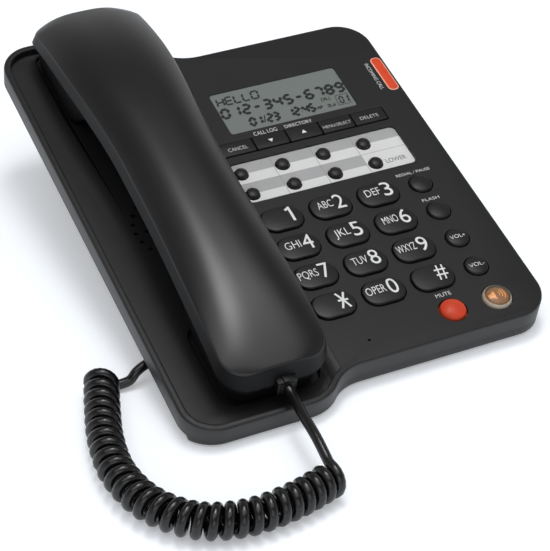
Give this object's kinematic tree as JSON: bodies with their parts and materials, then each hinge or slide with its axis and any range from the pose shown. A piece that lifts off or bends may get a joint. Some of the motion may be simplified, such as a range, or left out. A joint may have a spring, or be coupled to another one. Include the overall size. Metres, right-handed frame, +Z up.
{
  "type": "corded speakerphone desk telephone",
  "caption": "Black corded desk telephone: sloped base with dial keys, memory keys, display and ring lamp, a lift-off handset lying in a side cradle and a curly handset cord.",
  "frame": {"origin": "middle of the base's bounding box on the table, cord left out", "axes": "+X from the handset side to the key side, +Y away from the user, +Z up from the table"},
  "size_m": [0.1895, 0.259, 0.0742],
  "materials": {
    "case_black": "fine matte grain",
    "rubber_black": "matte",
    "screw_steel": "plated",
    "board_green": "solder mask",
    "mat_grey": "silicone",
    "clear_plastic": "clear, polished",
    "lcd_grey": "grey-green display",
    "card_paper": "printed card",
    "lamp_orange": "translucent lens",
    "speaker_black": "matte",
    "metal_can": "plain",
    "jack_black": "moulded",
    "key_black": "satin",
    "mute_red": "satin gloss",
    "speaker_amber": "translucent",
    "handset_black": "semi-gloss",
    "cord_black": "glossy sheath",
    "plug_black": "gloss"
  },
  "bodies": {
    "base": {"base_top_cover": "case_black", "base_bottom_cover": "case_black", "rubber_feet": "rubber_black", "case_screws": "screw_steel", "main_board": "board_green", "key_mat": "mat_grey", "lcd_window": "clear_plastic", "card_cover": "clear_plastic", "lcd_module": "lcd_grey", "memory_card": "card_paper", "ring_lamp_lens": "lamp_orange", "base_speaker": "speaker_black", "desk_mic": "metal_can", "line_jack": "jack_black", "handset_jack": "jack_black", "base_lead": "cord_black", "curly_cord": "cord_black", "handset_lead": "cord_black", "base_plug": "plug_black"},
    "handset": {"handset_back": "handset_black", "handset_face": "handset_black", "receiver_capsule": "metal_can", "handset_mic": "metal_can", "handset_socket": "jack_black", "handset_plug": "plug_black"},
    "hook_plunger": {"hook_plunger": "jack_black"},
    "ringer_switch": {"ringer_switch": "jack_black"},
    "key_1": {"key_1": "key_black"},
    "key_2": {"key_2": "key_black"},
    "key_3": {"key_3": "key_black"},
    "key_4": {"key_4": "key_black"},
    "key_5": {"key_5": "key_black"},
    "key_6": {"key_6": "key_black"},
    "key_7": {"key_7": "key_black"},
    "key_8": {"key_8": "key_black"},
    "key_9": {"key_9": "key_black"},
    "key_star": {"key_star": "key_black"},
    "key_0": {"key_0": "key_black"},
    "key_hash": {"key_hash": "key_black"},
    "memory_button_1": {"memory_button_1": "key_black"},
    "memory_button_2": {"memory_button_2": "key_black"},
    "memory_button_3": {"memory_button_3": "key_black"},
    "memory_button_4": {"memory_button_4": "key_black"},
    "memory_button_5": {"memory_button_5": "key_black"},
    "memory_button_6": {"memory_button_6": "key_black"},
    "memory_button_7": {"memory_button_7": "key_black"},
    "memory_button_8": {"memory_button_8": "key_black"},
    "menu_key_1": {"menu_key_1": "key_black"},
    "menu_key_2": {"menu_key_2": "key_black"},
    "menu_key_3": {"menu_key_3": "key_black"},
    "menu_key_4": {"menu_key_4": "key_black"},
    "menu_key_5": {"menu_key_5": "key_black"},
    "redial_key": {"redial_key": "key_black"},
    "flash_key": {"flash_key": "key_black"},
    "volume_up_key": {"volume_up_key": "key_black"},
    "volume_down_key": {"volume_down_key": "key_black"},
    "mute_key": {"mute_key": "mute_red"},
    "speaker_key": {"speaker_key": "speaker_amber"}
  },
  "joints": [
    {"name": "handset_lift", "type": "slide", "parent": "base", "child": "handset", "axis": [0, -0.225, 0.9744], "range_m": [0, 0.1]},
    {"name": "hook_travel", "type": "slide", "parent": "base", "child": "hook_plunger", "axis": [0, -0.225, 0.9744], "range_m": [0, 0.004]},
    {"name": "ringer_slide", "type": "slide", "parent": "base", "child": "ringer_switch", "axis": [0.1289, 0.9917, 0], "range_m": [0, 0.004]},
    {"name": "key_1_press", "type": "slide", "parent": "base", "child": "key_1", "axis": [0, 0.225, -0.9744], "range_m": [0, 0.0009], "stiffness_N_per_m": 800, "springref_m": -0.0005},
    {"name": "key_2_press", "type": "slide", "parent": "base", "child": "key_2", "axis": [0, 0.225, -0.9744], "range_m": [0, 0.0009], "stiffness_N_per_m": 800, "springref_m": -0.0005},
    {"name": "key_3_press", "type": "slide", "parent": "base", "child": "key_3", "axis": [0, 0.225, -0.9744], "range_m": [0, 0.0009], "stiffness_N_per_m": 800, "springref_m": -0.0005},
    {"name": "key_4_press", "type": "slide", "parent": "base", "child": "key_4", "axis": [0, 0.225, -0.9744], "range_m": [0, 0.0009], "stiffness_N_per_m": 800, "springref_m": -0.0005},
    {"name": "key_5_press", "type": "slide", "parent": "base", "child": "key_5", "axis": [0, 0.225, -0.9744], "range_m": [0, 0.0009], "stiffness_N_per_m": 800, "springref_m": -0.0005},
    {"name": "key_6_press", "type": "slide", "parent": "base", "child": "key_6", "axis": [0, 0.225, -0.9744], "range_m": [0, 0.0009], "stiffness_N_per_m": 800, "springref_m": -0.0005},
    {"name": "key_7_press", "type": "slide", "parent": "base", "child": "key_7", "axis": [0, 0.225, -0.9744], "range_m": [0, 0.0009], "stiffness_N_per_m": 800, "springref_m": -0.0005},
    {"name": "key_8_press", "type": "slide", "parent": "base", "child": "key_8", "axis": [0, 0.225, -0.9744], "range_m": [0, 0.0009], "stiffness_N_per_m": 800, "springref_m": -0.0005},
    {"name": "key_9_press", "type": "slide", "parent": "base", "child": "key_9", "axis": [0, 0.225, -0.9744], "range_m": [0, 0.0009], "stiffness_N_per_m": 800, "springref_m": -0.0005},
    {"name": "key_star_press", "type": "slide", "parent": "base", "child": "key_star", "axis": [0, 0.225, -0.9744], "range_m": [0, 0.0009], "stiffness_N_per_m": 800, "springref_m": -0.0005},
    {"name": "key_0_press", "type": "slide", "parent": "base", "child": "key_0", "axis": [0, 0.225, -0.9744], "range_m": [0, 0.0009], "stiffness_N_per_m": 800, "springref_m": -0.0005},
    {"name": "key_hash_press", "type": "slide", "parent": "base", "child": "key_hash", "axis": [0, 0.225, -0.9744], "range_m": [0, 0.0009], "stiffness_N_per_m": 800, "springref_m": -0.0005},
    {"name": "memory_button_1_press", "type": "slide", "parent": "base", "child": "memory_button_1", "axis": [0, 0.225, -0.9744], "range_m": [0, 0.0009], "stiffness_N_per_m": 800, "springref_m": -0.0005},
    {"name": "memory_button_2_press", "type": "slide", "parent": "base", "child": "memory_button_2", "axis": [0, 0.225, -0.9744], "range_m": [0, 0.0009], "stiffness_N_per_m": 800, "springref_m": -0.0005},
    {"name": "memory_button_3_press", "type": "slide", "parent": "base", "child": "memory_button_3", "axis": [0, 0.225, -0.9744], "range_m": [0, 0.0009], "stiffness_N_per_m": 800, "springref_m": -0.0005},
    {"name": "memory_button_4_press", "type": "slide", "parent": "base", "child": "memory_button_4", "axis": [0, 0.225, -0.9744], "range_m": [0, 0.0009], "stiffness_N_per_m": 800, "springref_m": -0.0005},
    {"name": "memory_button_5_press", "type": "slide", "parent": "base", "child": "memory_button_5", "axis": [0, 0.225, -0.9744], "range_m": [0, 0.0009], "stiffness_N_per_m": 800, "springref_m": -0.0005},
    {"name": "memory_button_6_press", "type": "slide", "parent": "base", "child": "memory_button_6", "axis": [0, 0.225, -0.9744], "range_m": [0, 0.0009], "stiffness_N_per_m": 800, "springref_m": -0.0005},
    {"name": "memory_button_7_press", "type": "slide", "parent": "base", "child": "memory_button_7", "axis": [0, 0.225, -0.9744], "range_m": [0, 0.0009], "stiffness_N_per_m": 800, "springref_m": -0.0005},
    {"name": "memory_button_8_press", "type": "slide", "parent": "base", "child": "memory_button_8", "axis": [0, 0.225, -0.9744], "range_m": [0, 0.0009], "stiffness_N_per_m": 800, "springref_m": -0.0005},
    {"name": "menu_key_1_press", "type": "slide", "parent": "base", "child": "menu_key_1", "axis": [0, 0.225, -0.9744], "range_m": [0, 0.0009], "stiffness_N_per_m": 800, "springref_m": -0.0005},
    {"name": "menu_key_2_press", "type": "slide", "parent": "base", "child": "menu_key_2", "axis": [0, 0.225, -0.9744], "range_m": [0, 0.0009], "stiffness_N_per_m": 800, "springref_m": -0.0005},
    {"name": "menu_key_3_press", "type": "slide", "parent": "base", "child": "menu_key_3", "axis": [0, 0.225, -0.9744], "range_m": [0, 0.0009], "stiffness_N_per_m": 800, "springref_m": -0.0005},
    {"name": "menu_key_4_press", "type": "slide", "parent": "base", "child": "menu_key_4", "axis": [0, 0.225, -0.9744], "range_m": [0, 0.0009], "stiffness_N_per_m": 800, "springref_m": -0.0005},
    {"name": "menu_key_5_press", "type": "slide", "parent": "base", "child": "menu_key_5", "axis": [0, 0.225, -0.9744], "range_m": [0, 0.0009], "stiffness_N_per_m": 800, "springref_m": -0.0005},
    {"name": "redial_key_press", "type": "slide", "parent": "base", "child": "redial_key", "axis": [0, 0.225, -0.9744], "range_m": [0, 0.0009], "stiffness_N_per_m": 800, "springref_m": -0.0005},
    {"name": "flash_key_press", "type": "slide", "parent": "base", "child": "flash_key", "axis": [0, 0.225, -0.9744], "range_m": [0, 0.0009], "stiffness_N_per_m": 800, "springref_m": -0.0005},
    {"name": "volume_up_key_press", "type": "slide", "parent": "base", "child": "volume_up_key", "axis": [0, 0.225, -0.9744], "range_m": [0, 0.0009], "stiffness_N_per_m": 800, "springref_m": -0.0005},
    {"name": "volume_down_key_press", "type": "slide", "parent": "base", "child": "volume_down_key", "axis": [0, 0.225, -0.9744], "range_m": [0, 0.0009], "stiffness_N_per_m": 800, "springref_m": -0.0005},
    {"name": "mute_key_press", "type": "slide", "parent": "base", "child": "mute_key", "axis": [0, 0.225, -0.9744], "range_m": [0, 0.0009], "stiffness_N_per_m": 800, "springref_m": -0.0005},
    {"name": "speaker_key_press", "type": "slide", "parent": "base", "child": "speaker_key", "axis": [0, 0.225, -0.9744], "range_m": [0, 0.0009], "stiffness_N_per_m": 800, "springref_m": -0.0005}
  ],
  "couplings": [
    {"joint": "hook_travel", "follows": "handset_lift", "ratio": 0.04}
  ]
}
